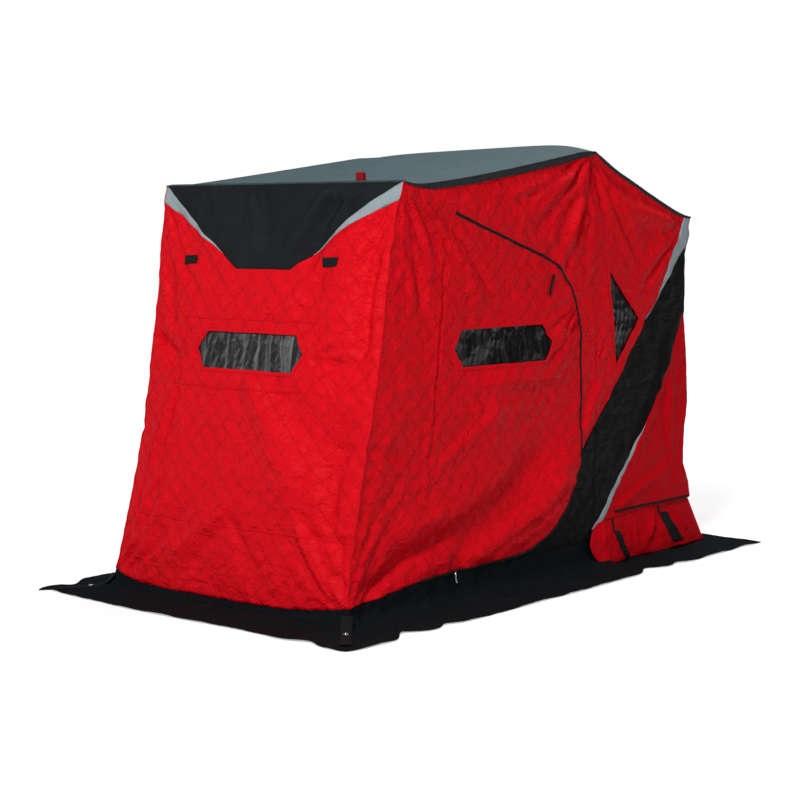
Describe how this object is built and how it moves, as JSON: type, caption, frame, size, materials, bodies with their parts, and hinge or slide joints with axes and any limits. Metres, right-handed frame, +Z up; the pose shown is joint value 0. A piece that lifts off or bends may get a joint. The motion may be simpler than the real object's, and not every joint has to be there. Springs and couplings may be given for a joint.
{
  "type": "flip-over ice fishing hut",
  "caption": "Sled-based pop-up ice fishing hut: red quilted hood on folding hoops, zipped side doors, vinyl windows, black roof and a ground skirt.",
  "frame": {"origin": "on the ice, at the middle of the skirt's outline", "axes": "+X to the right seen from the front, +Y from the front wall back to the sled, +Z up"},
  "size_m": [1.934, 3.22, 2],
  "materials": {
    "red_cloth": "satin quilted polyester",
    "black_cloth": "matt polyester",
    "roof_cloth": "matt polyester",
    "skirt_cloth": "matt coated polyester",
    "reflective_band": "reflective grey",
    "window_vinyl": "glossy dark vinyl",
    "webbing": "woven",
    "red_webbing": "woven",
    "pole_aluminium": "satin",
    "plate_steel": "powder coated",
    "sled_plastic": "rotationally moulded polyethylene"
  },
  "bodies": {
    "hood": {"anchor_tabs": "webbing", "back_flap": "red_cloth", "back_skirt": "skirt_cloth", "back_wall": "red_cloth", "base_hoop": "pole_aluminium", "flap_straps": "webbing", "front_crest": "black_cloth", "front_hoop": "pole_aluminium", "front_skirt": "skirt_cloth", "front_wall": "red_cloth", "front_wedges": "reflective_band", "front_window": "window_vinyl", "hook_patches": "webbing", "left_door_post_panel": "red_cloth", "left_door_zip": "webbing", "left_over_door_panel": "red_cloth", "left_rear_corner_panel": "red_cloth", "left_rear_side_panel": "red_cloth", "left_side_front_panel": "red_cloth", "left_side_skirt": "skirt_cloth", "left_side_stripe": "black_cloth", "left_sled_flap": "red_cloth", "pivot_plates": "plate_steel", "rear_hoop": "pole_aluminium", "rear_side_windows": "window_vinyl", "ridge_hoop": "pole_aluminium", "right_door_post_panel": "red_cloth", "right_door_zip": "webbing", "right_over_door_panel": "red_cloth", "right_rear_corner_panel": "red_cloth", "right_rear_side_panel": "red_cloth", "right_side_front_panel": "red_cloth", "right_side_skirt": "skirt_cloth", "right_side_stripe": "black_cloth", "right_sled_flap": "red_cloth", "roof_front": "roof_cloth", "roof_rear": "roof_cloth", "roof_spreaders": "pole_aluminium", "roof_tab": "red_webbing", "side_bands": "reflective_band", "sled_tub": "sled_plastic"},
    "right_door": {"right_door_leaf": "red_cloth", "right_door_window": "window_vinyl"},
    "left_door": {"left_door_leaf": "red_cloth", "left_door_window": "window_vinyl"}
  },
  "joints": [
    {"name": "right_door_swing", "type": "hinge", "parent": "hood", "child": "right_door", "pos_m": [0.712, -0.862, 0.133], "axis": [0, -0.1378, -0.9905], "range_deg": [0, 140]},
    {"name": "left_door_swing", "type": "hinge", "parent": "hood", "child": "left_door", "pos_m": [-0.712, -0.862, 0.133], "axis": [0, 0.1378, 0.9905], "range_deg": [0, 140]}
  ]
}
